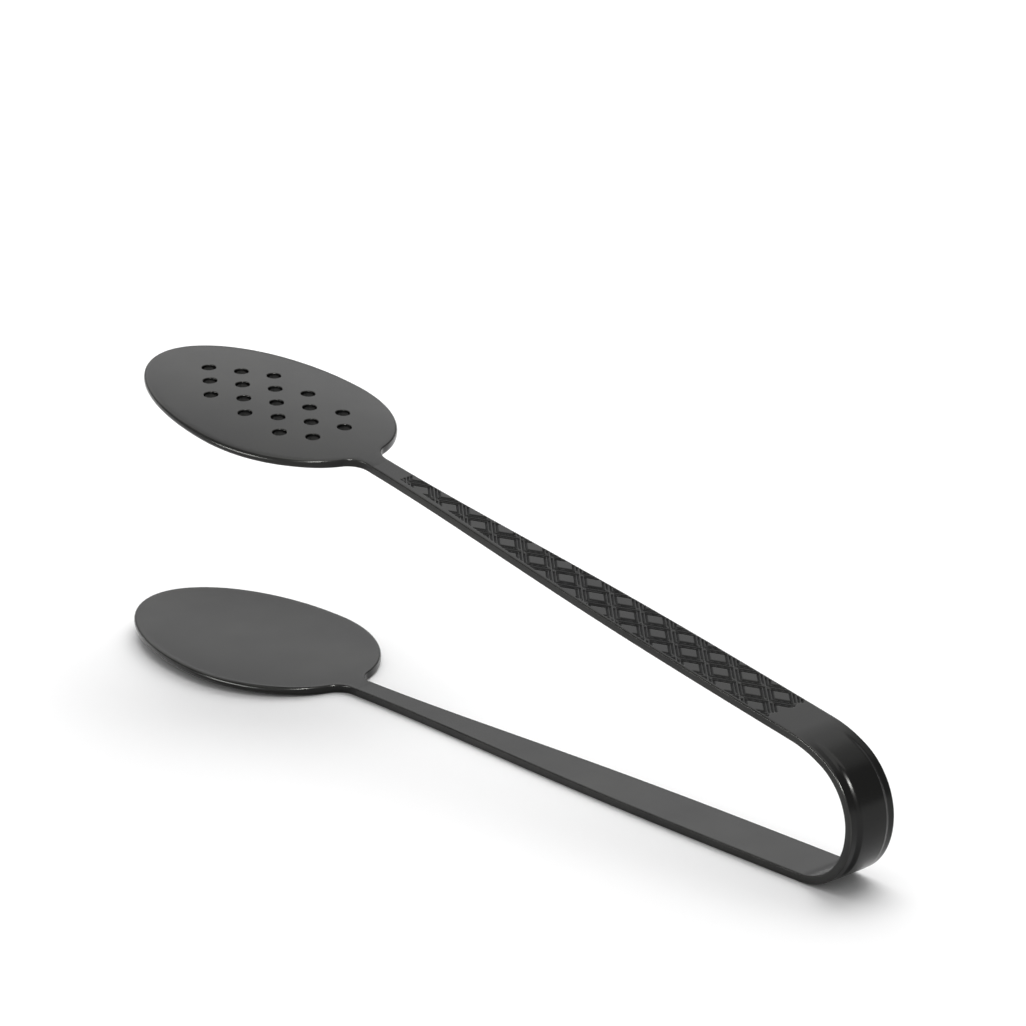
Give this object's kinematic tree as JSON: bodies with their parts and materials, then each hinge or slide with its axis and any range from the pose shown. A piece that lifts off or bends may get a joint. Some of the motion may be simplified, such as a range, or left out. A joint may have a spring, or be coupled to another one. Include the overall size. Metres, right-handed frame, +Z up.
{
  "type": "ice tongs",
  "caption": "Spring ice tongs bent from one dark coated steel strip, with a plain oval bowl below, a perforated oval bowl above, and a ribbed bow.",
  "frame": {"origin": "middle of the footprint, on the surface that the tongs stand on", "axes": "+X along the strip towards the spring bow, bowls at -X; +Y across the strip; +Z up, from the plain bowl towards the perforated one"},
  "size_m": [0.23, 0.041, 0.0627],
  "materials": {
    "coated_steel": "satin near-black PVD coating over stainless sheet"
  },
  "bodies": {
    "lower_side": {"lower_bowl": "coated_steel", "lower_arm": "coated_steel", "lower_bow": "coated_steel"},
    "upper_side": {"upper_bow": "coated_steel", "upper_arm": "coated_steel", "upper_bowl": "coated_steel"}
  },
  "joints": [
    {"name": "bow_flex", "type": "hinge", "parent": "lower_side", "child": "upper_side", "pos_m": [0.11267, 0, 0.01438], "axis": [0, -1, 0], "range_deg": [0, 14.5], "stiffness_Nm_per_rad": 8, "springref_deg": -0.52}
  ]
}
